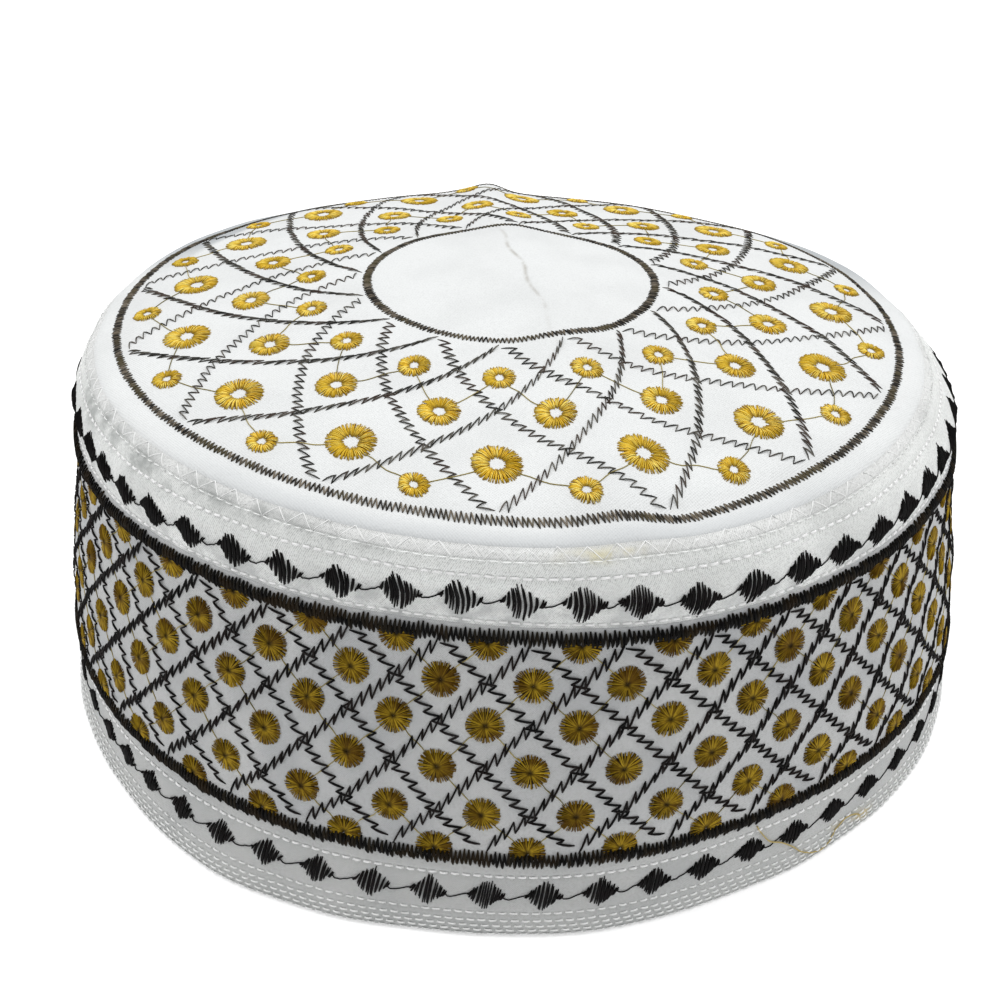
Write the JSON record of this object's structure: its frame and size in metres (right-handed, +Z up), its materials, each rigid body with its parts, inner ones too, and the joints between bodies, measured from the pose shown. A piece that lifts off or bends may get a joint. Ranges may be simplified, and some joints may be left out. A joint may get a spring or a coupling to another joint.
{
  "type": "prayer cap",
  "caption": "Round embroidered cloth prayer cap: a slightly domed top disc, seam strip, upright band with lattice panel, and stitched hem.",
  "frame": {"origin": "middle of the bounding box's base, on the surface that the hem rests on", "axes": "+X to the wearer's left seen from the front, along the cap's longer way; -Y the front; +Z up through the crown"},
  "size_m": [0.1986, 0.1766, 0.0868],
  "materials": {
    "crown_cotton": "matt plain-woven white cotton",
    "seam_cotton": "matt white cotton under zigzag stitching",
    "band_cotton": "matt white cotton twill",
    "panel_cotton": "matt white cotton under dense embroidery",
    "hem_cotton": "matt white cotton with rows of stitching",
    "dark_thread": "lustrous dark brown embroidery thread",
    "gold_thread": "lustrous gold-olive embroidery thread",
    "white_thread": "white sewing thread"
  },
  "bodies": {
    "root": {"crown": "crown_cotton", "crown_seam": "seam_cotton", "shoulder_band": "band_cotton", "side_panel": "panel_cotton", "hem_band": "hem_cotton"}
  },
  "joints": []
}
